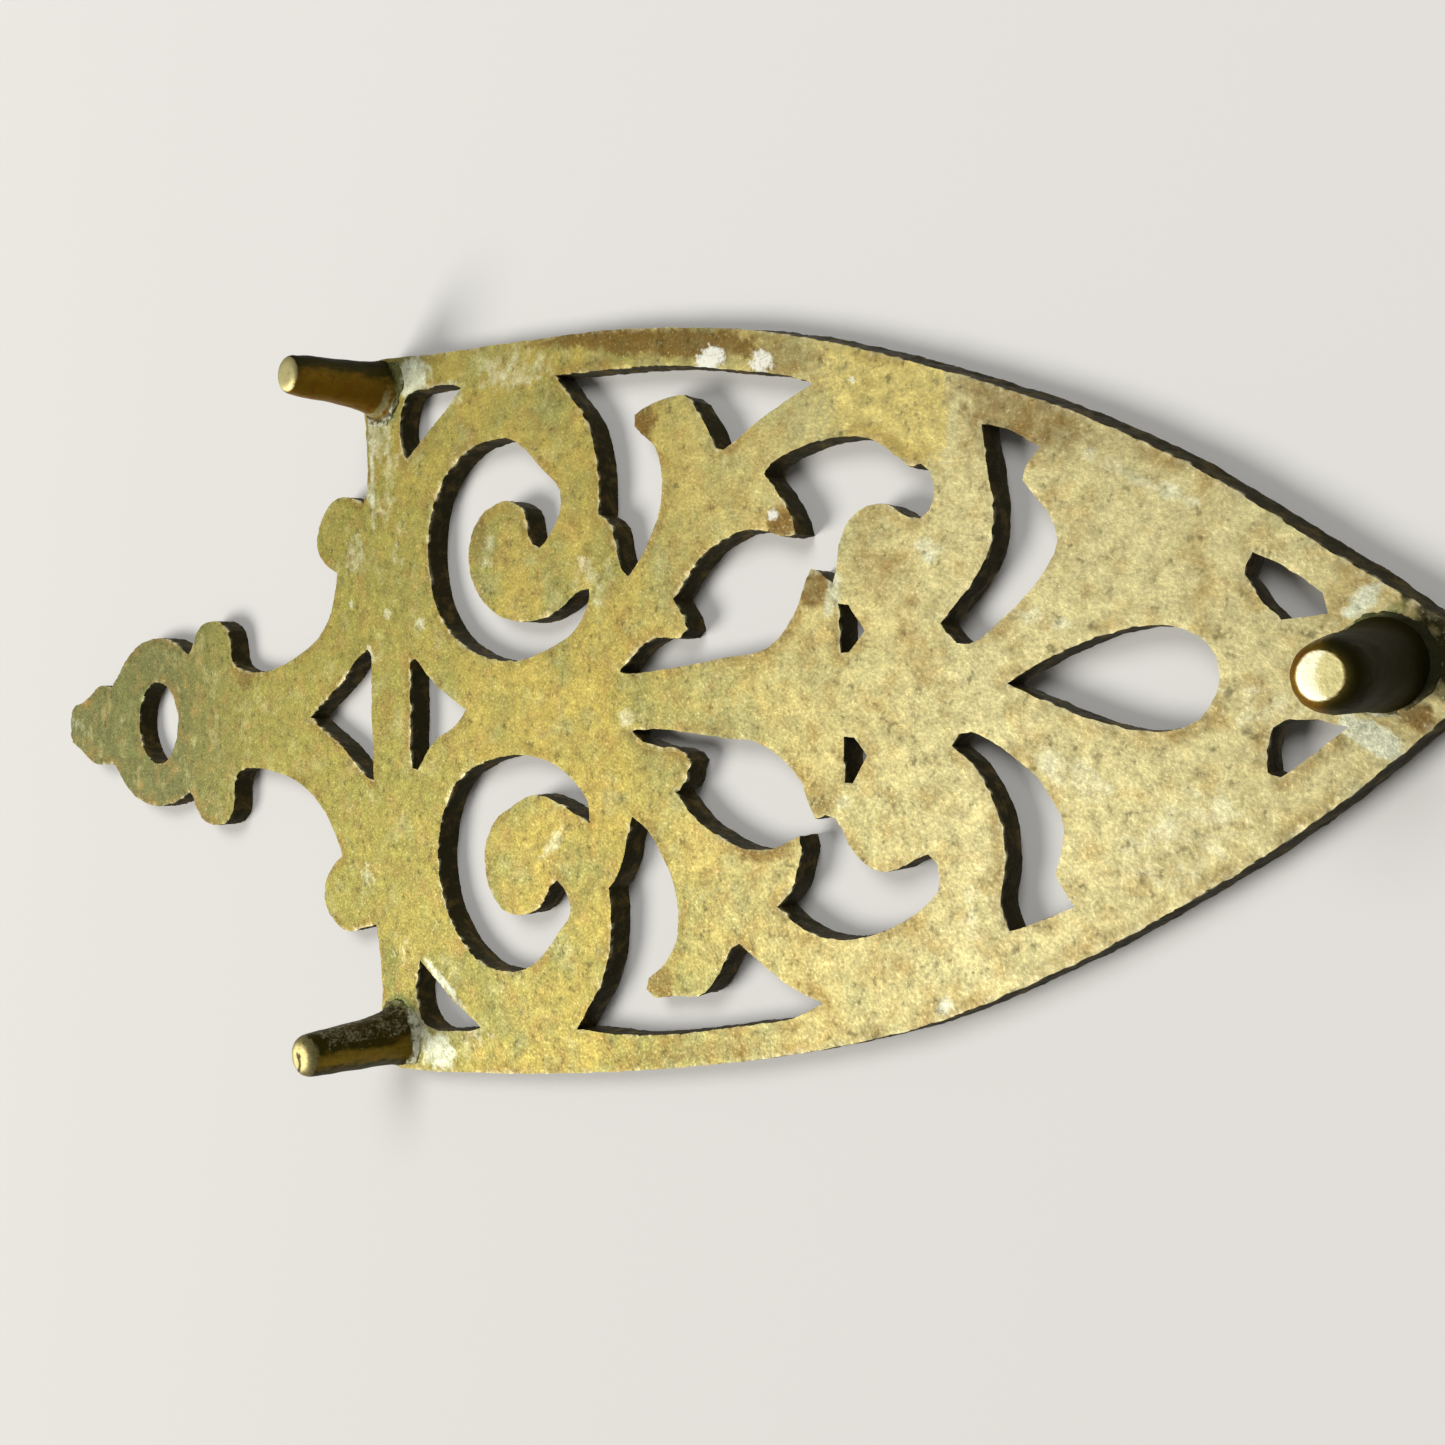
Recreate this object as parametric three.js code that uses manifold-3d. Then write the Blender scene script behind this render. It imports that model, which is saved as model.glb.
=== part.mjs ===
// Flat iron trivet: a fretted brass plate with a hanging handle, standing on three round legs.
// Millimetres, +Z up. It stands on its feet at z = 0 with its nose toward +X and its left side toward
// +Y, and the middle of its overall length lies over x = 0.
import * as THREE from "three";
import { mergeVertices } from "three/addons/utils/BufferGeometryUtils.js";
import Module from "manifold-3d";

const wasm = await Module();
wasm.setup();

// Driving dimensions
const legLength = 14.7; // floor to the underside of the plate
const plateThickness = 3.8;
const finialTip = -129.2; // both ends of the plate, in the outline's own x
const noseTip = 127.2;
const curveStep = 1.5; // longest straight run on a curved edge
const roundSides = 28; // facets round a leg
const spigotRadius = 2.5; // the leg's end that passes up through the plate
const fitGap = 0.3; // clearance between a leg and what surrounds it
const solderReach = 1.3; // how far the solder spreads out from a leg
const solderHeight = 1.2;

const underside = legLength;
const showFace = legLength + plateThickness;
const middle = (finialTip + noseTip) / 2;

// A leg's foot and root give its lean. Its radii are at the root, at the foot's shoulder and round
// the flat it stands on.
const legs = [
  { name: "rear_leg_left", root: [-21.7, 47.5], foot: [-23.4, 47.9], radii: [4.0, 3.0, 2.5] },
  { name: "rear_leg_right", root: [-21.6, -47.8], foot: [-22.3, -47.6], radii: [3.8, 2.7, 2.2] },
  { name: "nose_leg", root: [117.6, 0.3], foot: [118.2, 1.1], radii: [3.8, 3.0, 2.0] },
];
const solderNames = ["solder_rear_left", "solder_rear_right", "solder_nose"];

const materials = {
  plate: { color: 0xa8934a, roughness: 0.5, metalness: 1 },
  leg: { color: 0x7a5f22, roughness: 0.45, metalness: 1 },
  solder: { color: 0x9c9c8c, roughness: 0.7, metalness: 0.6 },
};

// An edge of the plate is a list of stretches that meet in corners. A stretch is a smooth curve
// through its points up to the first point of the next one; a stretch of one point is a straight line.
// Each side was filed by hand, so left and right have their own edges, both with y measured outward.
const leftEdge = [
  [[finialTip, 0], [-129.1, 1.8], [-128.2, 2.8], [-124.6, 4.3], [-121, 6.2], [-118, 7], [-113.5, 7]],
  [[-110.8, 7], [-108.5, 8.8], [-105.5, 11.4], [-101.5, 13.4], [-97, 14.4], [-93, 14.7], [-87, 13.8]],
  [[-81.6, 12.1], [-80.6, 13], [-79.2, 15.5], [-76.6, 17.1], [-73.2, 17.6], [-69.5, 17.1], [-67, 15.2]],
  [[-66.3, 11], [-65.6, 9.3], [-63.6, 8.2], [-60, 7.9], [-54, 8.4], [-48, 9.7], [-43, 11.8],
    [-39, 14.8], [-36.2, 18.3]],
  [[-34.7, 21.4], [-37, 22.9], [-39.1, 25], [-39.8, 27.4], [-38.7, 30.2], [-36, 32.3], [-33, 32.8],
    [-30, 32.1]],
  [[-26, 31.3], [-25.3, 35.5], [-24.9, 40.5], [-25.3, 45.5], [-24.8, 49.6], [-22, 51.6],
    [-16, 51.5], [-9.7, 50.9]],
  [[-6, 50.4], [5.5, 49], [23.9, 46.2], [36, 44], [47.1, 41.7], [57.2, 39.2], [68.6, 35.9], [77, 32.7]],
  [[85.2, 28.8], [92.1, 25.3], [99.9, 20.7], [107.6, 15.9], [114.3, 11.1], [120, 6.4], [124.6, 2.6],
    [126.5, 1.2]],
];
const rightEdge = [
  [[finialTip, 0], [-129, 2.6], [-127.7, 4.2], [-124, 4.9], [-120, 6.3], [-116.6, 7.8], [-114, 7.9]],
  [[-111, 7.5], [-108, 9.6], [-105, 12], [-101, 14.2], [-97, 15.2], [-93, 15.5], [-88, 15],
    [-84, 13.6]],
  [[-81, 11.9], [-79.6, 12.9], [-78, 15.2], [-75.8, 16.7], [-73, 17.2], [-69.6, 16.7], [-67, 14.9]],
  [[-66.1, 10.8], [-65.4, 9.4], [-62.5, 8.3], [-57.5, 7.7], [-53, 8], [-48, 9], [-43, 10.6],
    [-39, 12.6], [-35.9, 15.6]],
  [[-33.6, 21.7], [-36.5, 23.1], [-38.4, 24.8], [-39, 27], [-38.2, 29.4], [-36, 31.8], [-33, 33],
    [-29.8, 32.7]],
  [[-26.1, 31.4], [-25.1, 34], [-24.8, 40], [-25.4, 45.5], [-24.9, 49.6], [-22, 51.6], [-16, 51.1],
    [-10, 50.3]],
  [[-6, 49.8], [5, 48.6], [19.1, 47], [27.9, 45.9], [39.7, 43.7], [50.4, 41.2], [60.2, 38.1],
    [70, 34.4]],
  [[80.7, 29.8], [90.6, 25.1], [101.2, 18.9], [107.3, 14.5], [112.4, 10.6], [117.8, 6.6],
    [123.6, 2.4], [126.3, 1]],
];

// Pierced openings that lie on the centre line, with y as it is.
const hangingHole = { x: -92.7, y: -0.3, radius: 7.3 };
const centreOpenings = {
  behindBar: [
    [[-42.3, 0], [-40.2, 1.4], [-37, 3], [-34, 4.5], [-30.2, 7.4], [-28, 8.9]],
    [[-25.7, 10], [-25.5, 5], [-25.7, 0], [-25.4, -4.5]],
    [[-25.2, -8.6], [-26, -9.6], [-27.6, -9.1], [-29.6, -7.9], [-33.8, -4.8], [-36.5, -3.3],
      [-39.7, -1.6]],
  ],
  aheadOfBar: [
    [[-3.1, 0], [-5.2, 2.1], [-9.7, 3.9], [-12, 5.7]],
    [[-14.5, 8.3], [-15.4, 8.4], [-16.2, 6.2], [-15.9, 0], [-15.8, -5]],
    [[-15.6, -7.2], [-14.6, -7.7], [-12, -5.5], [-9.5, -3.5], [-6, -1.6]],
  ],
  teardrop: [
    [[82.5, 0.1], [86.5, 1.8], [90, 3.3], [95, 4.8], [99, 5.1], [102, 4.1], [103.8, 1.6],
      [103.8, -1.2], [102.2, -3.3], [99.5, -4.4], [96, -4.4], [92, -3.7], [87, -2]],
  ],
};

// Openings beside the centre line, one set for each side, with y measured outward.
const leftOpenings = {
  corner: [
    [[-15.2, 35.7], [-13.4, 37], [-11, 38.4], [-8.5, 40.3], [-4.8, 42]],
    [[-1.7, 43.7], [-3.8, 44.4], [-8, 44.9], [-11.5, 45.4], [-14.6, 44.6], [-16.1, 42.4],
      [-16.5, 40], [-16, 37.6]],
  ],
  scroll: [
    [[21.6, 15.1], [17.1, 13.2], [13.5, 11.9], [10.5, 11.7], [6.5, 13.2], [3, 15], [0.7, 18],
      [0.2, 21.5], [1.4, 25], [4.2, 27.3], [8, 27.6], [11.5, 26.3], [13.4, 24], [14.8, 22.6],
      [16.6, 23.9], [17.6, 26.3]],
    [[17.1, 27.5], [15, 29.6], [12.2, 32.3], [9, 34.5], [4.5, 35.5], [-1, 34.8], [-6, 31.5],
      [-9.2, 26.8], [-10.3, 21.5], [-9.4, 16], [-6.5, 10.9]],
    [[-3.5, 8.8], [1, 7.2], [7, 6.4], [12, 6.8], [16.5, 8.3], [19.8, 10.6], [21.4, 12.2]],
  ],
  leafAndRim: [
    [[29.5, 14.2], [31.8, 15.6], [34, 18.3], [36, 21.5], [36.8, 25.5], [36.2, 29.2], [33.8, 32.2],
      [31.3, 34]],
    [[31.1, 35.1], [32.3, 36], [36, 35.4], [40, 35], [42, 33.6], [44, 30.8], [45.4, 28.8]],
    [[46.5, 28.4], [50, 30.5], [54, 32.6]],
    [[58.5, 33.9], [54, 36.1], [47, 37.7], [36.5, 39.9], [29, 41]],
    [[18.1, 41.6], [20.5, 38.6], [22.9, 35.3], [24.6, 31], [25.1, 26.5]],
    [[24.9, 23.2], [26.2, 22], [27.7, 19.4], [28.4, 16.6]],
  ],
  leafAndLily: [
    [[29.5, 3.6], [34, 3.5], [39, 4], [45, 4.8], [49.5, 5.2], [53, 6.8], [56, 9.4], [57.2, 12]],
    [[58.2, 13.9], [60.2, 13.4], [61.5, 14.3], [62.8, 16.8], [65.2, 18.8], [67.6, 19.2], [70.5, 18.1]],
    [[72.8, 17.1], [73.9, 18.2], [74, 20.6], [72.6, 22.2], [69, 24.5], [65, 26.1], [60.5, 26.8],
      [56, 26]],
    [[52.4, 23.8], [54.6, 21.6], [55.6, 19], [56.2, 16.9]],
    [[55.8, 15.8], [52, 17.3], [48, 17.5], [43.5, 16], [39.8, 13.9]],
    [[37, 11.1], [38.4, 10.3], [39, 8.8]],
    [[39.6, 7.3], [38, 6.1], [34, 5.6], [31.5, 4.8]],
  ],
  lilySpandrel: [[[62.4, 4.9]], [[63.8, 5]], [[65.4, 7]], [[63.4, 10]], [[62.4, 9.9]]],
  crescent: [
    [[76.1, 6.1], [76.9, 5], [78.6, 4.8], [83, 7.2], [86.4, 10.2], [88.3, 13.6], [88, 16.4]],
    [[87.3, 18.5], [88, 19.8]],
    [[89.2, 21.5], [85.6, 23.1]],
    [[82, 24.4], [81.1, 21.8], [81.7, 18.6], [81.7, 15], [80.5, 11.2], [78.4, 8]],
  ],
  nose: [
    [[107.9, 7.1]], [[108.5, 5]], [[110, 4.3]], [[112.5, 4.5]], [[114.8, 5.1]], [[111, 7.9]],
    [[109, 9.3]], [[108, 8.8]],
  ],
};
const rightOpenings = {
  corner: [
    [[-15.1, 36.3], [-13.2, 37.3], [-10, 39.3], [-6.5, 41.1], [-3.8, 42.8]],
    [[-1.9, 44.2], [-4.5, 45.1], [-10, 45.5], [-13.9, 45.5], [-15.7, 43.7], [-16.5, 40.6], [-16, 37.6]],
  ],
  scroll: [
    [[22.8, 14.4], [20.8, 14.2], [17.8, 12.5], [14.2, 11.4], [11, 11.1], [6.5, 11.7], [2.8, 13.4],
      [0.1, 16], [-1.3, 19.5], [-0.9, 22.8], [0.9, 25.7]],
    [[2.4, 26.7], [7.2, 27.5], [10.6, 25.7]],
    [[11.1, 23.8], [11.8, 21.5], [13.3, 20.4], [15.6, 21.9], [17.6, 24.4], [17.9, 27.2]],
    [[16.9, 28.6], [13.5, 31.5], [11, 33.9], [8, 35.6], [3.7, 36], [-1.5, 35.2], [-6.2, 32.4],
      [-9.4, 28.2], [-10.5, 23.6], [-10.3, 19], [-8.9, 14.5], [-5.4, 10.3], [-1, 7.8], [4, 6.4],
      [9, 6.1], [14.5, 7.2], [19, 8.8], [21.6, 11], [22.9, 13.2]],
  ],
  leafAndRim: [
    [[29.9, 15.2], [32, 17], [34.2, 19.9], [35.9, 23.2], [36.2, 27], [35.2, 30.4], [32.8, 32.4],
      [31.6, 33.8]],
    [[31.9, 34.7], [34, 35.4], [38, 35.8], [40.6, 35.5], [42.4, 33.4], [44.2, 30.6]],
    [[45, 28.6], [46.2, 28.3], [51, 30.4], [56, 32.3]],
    [[59.7, 33.4], [56, 35], [48.9, 36.9], [38.9, 39.4], [28.9, 40.9]],
    [[17.7, 42.2], [19.6, 39.8], [22.4, 36.8], [24.3, 33], [25.1, 28.5]],
    [[25, 23.5], [27.1, 22], [27.9, 19], [28.8, 16.4]],
  ],
  leafAndLily: [
    [[28, 3.7], [29.5, 3.3], [34, 3.5], [40, 3.9], [46, 4.5], [50.5, 4.8], [53.6, 6.1], [56.2, 8.9],
      [57.6, 11.8]],
    [[58.6, 13.4], [60.2, 12.6]],
    [[61.6, 11.6], [62.2, 13.4], [62.6, 16], [64.2, 18.3], [66.9, 19.4], [69.4, 18.9], [71.4, 17.6],
      [73, 17.1], [74.6, 18.4], [74.9, 20.4], [73.8, 22.6]],
    [[72, 22.6], [70.2, 24], [67.5, 26.1], [64, 27], [59, 27], [55.5, 26.3], [53, 25.4]],
    [[52.4, 24.6], [54.4, 22.1], [56.1, 19.4]],
    [[56.6, 17.5], [55, 17.3], [51.5, 18.5], [48.4, 18.6], [43.4, 17], [40.2, 14.6]],
    [[37.6, 11.9], [38.8, 10.1], [39.7, 8.5], [39.1, 7.4], [37.2, 7.2], [34.6, 7.5], [31, 6.1]],
  ],
  lilySpandrel: [[[62.2, 4]], [[63.5, 4.1]], [[65.6, 6.2]], [[63.6, 9.1]], [[62.2, 9.3]]],
  crescent: [
    [[75.2, 6.3], [76.8, 4.4], [78.8, 4], [82, 6], [86, 9.2], [88.5, 12.8], [88, 15.4], [86.4, 17.6]],
    [[85, 19.4], [85.6, 20.9]],
    [[87, 22.3], [83.6, 24.6]],
    [[80.6, 25.6], [81.2, 21.5], [81.7, 17.2], [81, 13], [78.9, 9.9]],
  ],
  nose: [
    [[106.4, 8.3]], [[108, 5.8]], [[109.5, 4.1]], [[113.4, 4.4]], [[113.1, 6.1]], [[110, 8.7]],
      [[107.2, 10.2]],
  ],
};

// The points along a closed outline given as stretches.
function outline(stretches) {
  const path = [];
  stretches.forEach((stretch, i) => {
    const next = stretches[(i + 1) % stretches.length][0];
    const knots = [...stretch, next].map(([x, y]) => new THREE.Vector3(x, y, 0));
    const curve = new THREE.CatmullRomCurve3(knots, false, "centripetal");
    const runs = stretch.length === 1 ? 1 : Math.max(2, Math.ceil(curve.getLength() / curveStep));
    for (let k = 0; k < runs; k++) {
      const point = curve.getPointAt(k / runs);
      path.push(new THREE.Vector2(point.x, point.y));
    }
  });
  return path.filter((point, i) => bends(path.at(i - 1), point, path[(i + 1) % path.length]));
}

// Whether a path turns at b. A point on a straight run would leave a gap between cap and wall.
function bends(a, b, c) {
  const turn = (b.x - a.x) * (c.y - b.y) - (b.y - a.y) * (c.x - b.x);
  return Math.abs(turn) > 1e-5;
}

// The whole rim, counterclockwise: out along the right edge to the nose, and back along the left.
function rim() {
  const nose = [[noseTip, 0]];
  const out = outline(mirrored([...rightEdge, nose])).slice(0, -1);
  const back = outline([...leftEdge, nose]).slice(1).reverse();
  return [...out, ...back];
}

function circle(x, y, radius, sides) {
  return Array.from({ length: sides }, (unused, k) => {
    const angle = (2 * Math.PI * k) / sides;
    return new THREE.Vector2(x + radius * Math.cos(angle), y + radius * Math.sin(angle));
  });
}

function mirrored(stretches) {
  return stretches.map((stretch) => stretch.map(([x, y]) => [x, -y]));
}

function fretwork() {
  return [
    ...Object.values(centreOpenings),
    ...Object.values(leftOpenings),
    ...Object.values(rightOpenings).map(mirrored),
  ].map(outline);
}

// A flat slab with the given outline and holes between two heights, centred over x = 0.
function slab(border, holes, bottom, top) {
  const shape = new THREE.Shape(border);
  shape.holes = holes.map((points) => new THREE.Path(points));
  const geometry = new THREE.ExtrudeGeometry(shape, { depth: top - bottom, bevelEnabled: false });
  return geometry.translate(-middle, 0, bottom);
}

// A round piece from its profile of [radius, height] points, standing on its axis at x, y. It leans:
// the axis passes through the foot at the floor and through the root at the plate.
function turned(profile, { root, foot }) {
  const points = profile.map(([radius, height]) => new THREE.Vector2(radius, height));
  const geometry = new THREE.LatheGeometry(points, roundSides).rotateX(Math.PI / 2);
  const lean = new THREE.Matrix4().set(
    1, 0, (root[0] - foot[0]) / legLength, foot[0] - middle,
    0, 1, (root[1] - foot[1]) / legLength, foot[1],
    0, 0, 1, 0,
    0, 0, 0, 1,
  );
  return geometry.applyMatrix4(lean);
}

// A tapered leg: flat foot, rounded end, shoulder against the plate and a spigot through it.
function leg({ radii: [rootRadius, footRadius, flatRadius], ...axis }) {
  const endRound = footRadius - flatRadius;
  const bend = [0, 1, 2, 3].map((k) => {
    const angle = (k * Math.PI) / 6;
    return [flatRadius + endRound * Math.sin(angle), endRound * (1 - Math.cos(angle))];
  });
  const profile = [
    [0, 0],
    ...bend,
    [(footRadius + rootRadius) / 2 + 0.1, 0.55 * legLength],
    [rootRadius, underside],
    [spigotRadius, underside],
    [spigotRadius, showFace],
    [0, showFace],
  ];
  return turned(profile, axis);
}

// The solder run round a leg's root: a hollow-sided ring lying on the underside of the plate.
function solder({ radii: [rootRadius], ...axis }) {
  const inner = rootRadius + fitGap;
  const profile = [
    [inner, underside],
    [inner, underside - solderHeight],
    [inner + 0.3 * solderReach, underside - 0.55 * solderHeight],
    [inner + 0.65 * solderReach, underside - 0.2 * solderHeight],
    [inner + solderReach, underside],
    [inner, underside],
  ];
  return turned(profile, axis);
}

// manifold-3d solids, for cutting one closed mesh by another
function toSolid(geometry) {
  const bare = geometry.index ? geometry.toNonIndexed() : geometry.clone();
  bare.deleteAttribute("normal");
  bare.deleteAttribute("uv");
  const merged = mergeVertices(bare, 1e-4);
  return new wasm.Manifold(
    new wasm.Mesh({
      numProp: 3,
      vertProperties: merged.attributes.position.array,
      triVerts: new Uint32Array(merged.index.array),
    }),
  );
}

function toGeometry(solid) {
  const { vertProperties, triVerts } = solid.getMesh();
  const geometry = new THREE.BufferGeometry();
  geometry.setAttribute("position", new THREE.BufferAttribute(new Float32Array(vertProperties), 3));
  geometry.setIndex(new THREE.BufferAttribute(new Uint32Array(triVerts), 1));
  geometry.computeVertexNormals();
  return geometry;
}

function mesh(name, geometry, look) {
  const made = new THREE.Mesh(geometry, new THREE.MeshStandardMaterial(look));
  made.name = name;
  return made;
}

// The spigot leans with its leg, so its hole is round and stands over the middle of its lean.
function spigotHole({ root, foot }) {
  const rise = 1 + plateThickness / 2 / legLength;
  const x = foot[0] + (root[0] - foot[0]) * rise;
  const y = foot[1] + (root[1] - foot[1]) * rise;
  return circle(x, y, spigotRadius + fitGap + 0.1, roundSides);
}

const rimPath = rim();
const openings = fretwork();
const hanging = circle(hangingHole.x, hangingHole.y, hangingHole.radius, 40);
const plateHoles = [...openings, hanging, ...legs.map(spigotHole)];

const trivet = new THREE.Group();
trivet.add(mesh("fretted_plate", slab(rimPath, plateHoles, underside, showFace), materials.plate));
legs.forEach((one) => trivet.add(mesh(one.name, leg(one), materials.leg)));

// Solder only lies where there is plate to hold it.
const solderBed = toSolid(slab(rimPath, openings, underside - 2 * solderHeight, underside));
legs.forEach((one, i) => {
  const run = toSolid(solder(one)).intersect(solderBed);
  trivet.add(mesh(solderNames[i], toGeometry(run), materials.solder));
});

export default trivet;
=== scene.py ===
# Looks for a cast brass flat iron trivet: fretted plate, three legs and the runs that fix them.
import math

import bpy
import numpy as np
from mathutils import Matrix, Vector, kdtree, noise


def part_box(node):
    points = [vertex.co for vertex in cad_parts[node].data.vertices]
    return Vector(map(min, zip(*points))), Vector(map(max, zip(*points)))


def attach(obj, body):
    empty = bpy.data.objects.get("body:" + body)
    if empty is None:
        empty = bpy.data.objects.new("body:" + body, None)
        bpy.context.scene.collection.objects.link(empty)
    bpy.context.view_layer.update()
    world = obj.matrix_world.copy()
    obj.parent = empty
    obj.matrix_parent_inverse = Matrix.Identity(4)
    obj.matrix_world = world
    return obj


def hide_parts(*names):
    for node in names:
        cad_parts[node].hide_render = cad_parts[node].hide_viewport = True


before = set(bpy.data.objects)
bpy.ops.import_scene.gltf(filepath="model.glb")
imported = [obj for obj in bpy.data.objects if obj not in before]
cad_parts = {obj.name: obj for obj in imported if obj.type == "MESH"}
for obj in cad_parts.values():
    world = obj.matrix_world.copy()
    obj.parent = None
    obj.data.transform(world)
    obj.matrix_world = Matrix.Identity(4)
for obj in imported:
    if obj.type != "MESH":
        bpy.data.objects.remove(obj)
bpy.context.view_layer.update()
mm = 0.001

plateLow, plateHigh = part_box("fretted_plate")
undersideZ = plateLow.z
showZ = plateHigh.z
print("frame loaded, plate from", round(undersideZ / mm, 2), "to", round(showZ / mm, 2), "mm")


def onlySelect(piece):
    bpy.ops.object.select_all(action="DESELECT")
    piece.select_set(True)
    bpy.context.view_layer.objects.active = piece


def applyModifier(piece, kind, label, **settings):
    onlySelect(piece)
    modifier = piece.modifiers.new(label, kind)
    for key, value in settings.items():
        setattr(modifier, key, value)
    bpy.ops.object.modifier_apply(modifier=modifier.name)


def pointsOf(piece):
    points = np.zeros(len(piece.data.vertices) * 3)
    piece.data.vertices.foreach_get("co", points)
    return points.reshape(-1, 3)


def normalsOf(piece):
    normals = np.zeros(len(piece.data.vertices) * 3)
    piece.data.vertices.foreach_get("normal", normals)
    return normals.reshape(-1, 3)


def movePoints(piece, points):
    piece.data.vertices.foreach_set("co", points.ravel())
    piece.data.update()


def storeMask(piece, name, values):
    layer = piece.data.attributes.new(name, "FLOAT", "POINT")
    layer.data.foreach_set("value", np.clip(values, 0, 1).astype(np.float32))


def smoothStep(low, high, values):
    t = np.clip((values - low) / (high - low), 0, 1)
    return t * t * (3 - 2 * t)


def noiseAt(points, size, seed, octaves=3):
    # fractal noise from -1 to 1 at each point, size in metres
    shift = Vector((seed * 7.31, seed * 3.17, seed * 5.53))
    values = [noise.fractal(Vector(p) / size + shift, 0.8, 2.1, octaves) for p in points]
    return np.array(values)


def newGroup(name, inputs, outputs):
    group = bpy.data.node_groups.new(name, "ShaderNodeTree")
    for label, kind, value in inputs:
        socket = group.interface.new_socket(label, in_out="INPUT", socket_type=kind)
        if value is not None:
            socket.default_value = value
    for label, kind in outputs:
        group.interface.new_socket(label, in_out="OUTPUT", socket_type=kind)
    return group, group.nodes.new("NodeGroupInput"), group.nodes.new("NodeGroupOutput")


def noiseNode(tree, vector, scale, detail=3.0, roughness=0.55):
    node = tree.nodes.new("ShaderNodeTexNoise")
    tree.links.new(vector, node.inputs["Vector"])
    node.inputs["Detail"].default_value = detail
    node.inputs["Roughness"].default_value = roughness
    if isinstance(scale, (int, float)):
        node.inputs["Scale"].default_value = scale
    else:
        tree.links.new(scale, node.inputs["Scale"])
    return node.outputs[0]


def rangeNode(tree, value, low, high, outLow=0.0, outHigh=1.0):
    node = tree.nodes.new("ShaderNodeMapRange")
    tree.links.new(value, node.inputs["Value"])
    for label, number in (("From Min", low), ("From Max", high), ("To Min", outLow), ("To Max", outHigh)):
        node.inputs[label].default_value = number
    return node.outputs["Result"]


def mathNode(tree, operation, first, second, clamp=False):
    node = tree.nodes.new("ShaderNodeMath")
    node.operation = operation
    node.use_clamp = clamp
    for socket, value in zip(node.inputs, (first, second)):
        if isinstance(value, (int, float)):
            socket.default_value = value
        else:
            tree.links.new(value, socket)
    return node.outputs[0]


def mixColour(tree, factor, first, second, blend="MIX"):
    node = tree.nodes.new("ShaderNodeMix")
    node.data_type = "RGBA"
    node.blend_type = blend
    node.clamp_factor = True
    for socket, value in ((node.inputs[0], factor), (node.inputs[6], first), (node.inputs[7], second)):
        if isinstance(value, tuple):
            socket.default_value = (*value, 1)
        elif isinstance(value, (int, float)):
            socket.default_value = value
        else:
            tree.links.new(value, socket)
    return node.outputs[2]


def mixValue(tree, factor, first, second):
    node = tree.nodes.new("ShaderNodeMix")
    node.data_type = "FLOAT"
    for socket, value in ((node.inputs[0], factor), (node.inputs[2], first), (node.inputs[3], second)):
        if isinstance(value, (int, float)):
            socket.default_value = value
        else:
            tree.links.new(value, socket)
    return node.outputs[0]


def maskNode(tree, name):
    node = tree.nodes.new("ShaderNodeAttribute")
    node.attribute_name = name
    return node.outputs["Fac"]


# place, lens and sensor in mm; right, down and ahead are the camera's own directions
cameraSetup = {
    "place": (157.594, 3.597, -107.346),
    "right": (0.73734772, 0.0299468, 0.67484926),
    "down": (-0.0245491, 0.99954487, -0.01753272),
    "ahead": (-0.67506717, -0.00363923, 0.7377473),
    "lens": 35.75,
    "sensor": 36.0,
}


def makeCamera(setup):
    lens = bpy.data.cameras.new("cameraBelow")
    lens.lens = setup["lens"]
    lens.sensor_width = setup["sensor"]
    lens.clip_start = 0.002
    lens.clip_end = 60
    camera = bpy.data.objects.new("cameraBelow", lens)
    bpy.context.scene.collection.objects.link(camera)
    right, down, ahead = (Vector(setup[key]).normalized() for key in ("right", "down", "ahead"))
    turn = Matrix((right, -down, -ahead)).transposed().to_4x4()
    camera.matrix_world = Matrix.Translation(Vector(setup["place"]) * mm) @ turn
    bpy.context.scene.camera = camera


makeCamera(cameraSetup)
print("camera placed under the nose")


# lengths in metres, powers in watts; a lamp that is hidden in gloss leaves no glare on the metal
studio = {
    "floorReach": 14.0,
    "floorInset": 0.0004,
    "floorColour": (0.64, 0.63, 0.605),
    "skyAbove": (0.80, 0.79, 0.765),
    "skyBelow": (0.17, 0.168, 0.163),
    "skyRise": (0.05, 0.55),
    "backdrop": (0.49, 0.485, 0.47),
    "lamps": {
        "keyBelow": {"place": (-1.76, 0.80, -1.84), "size": 1.35, "power": 74.0, "colour": (1, 0.98, 0.94)},
        "fillBelow": {"place": (0.2, -0.8, -1.3), "size": 0.9, "power": 12.0, "colour": (0.98, 0.99, 1),
                      "hiddenInGloss": True},
        "keyAbove": {"place": (-0.7, -0.8, 1.1), "size": 0.7, "power": 5.0, "colour": (1, 0.98, 0.95)},
        "fillAbove": {"place": (-0.2, 1.0, 0.9), "size": 0.9, "power": 2.0, "colour": (0.96, 0.98, 1)},
    },
}


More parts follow.
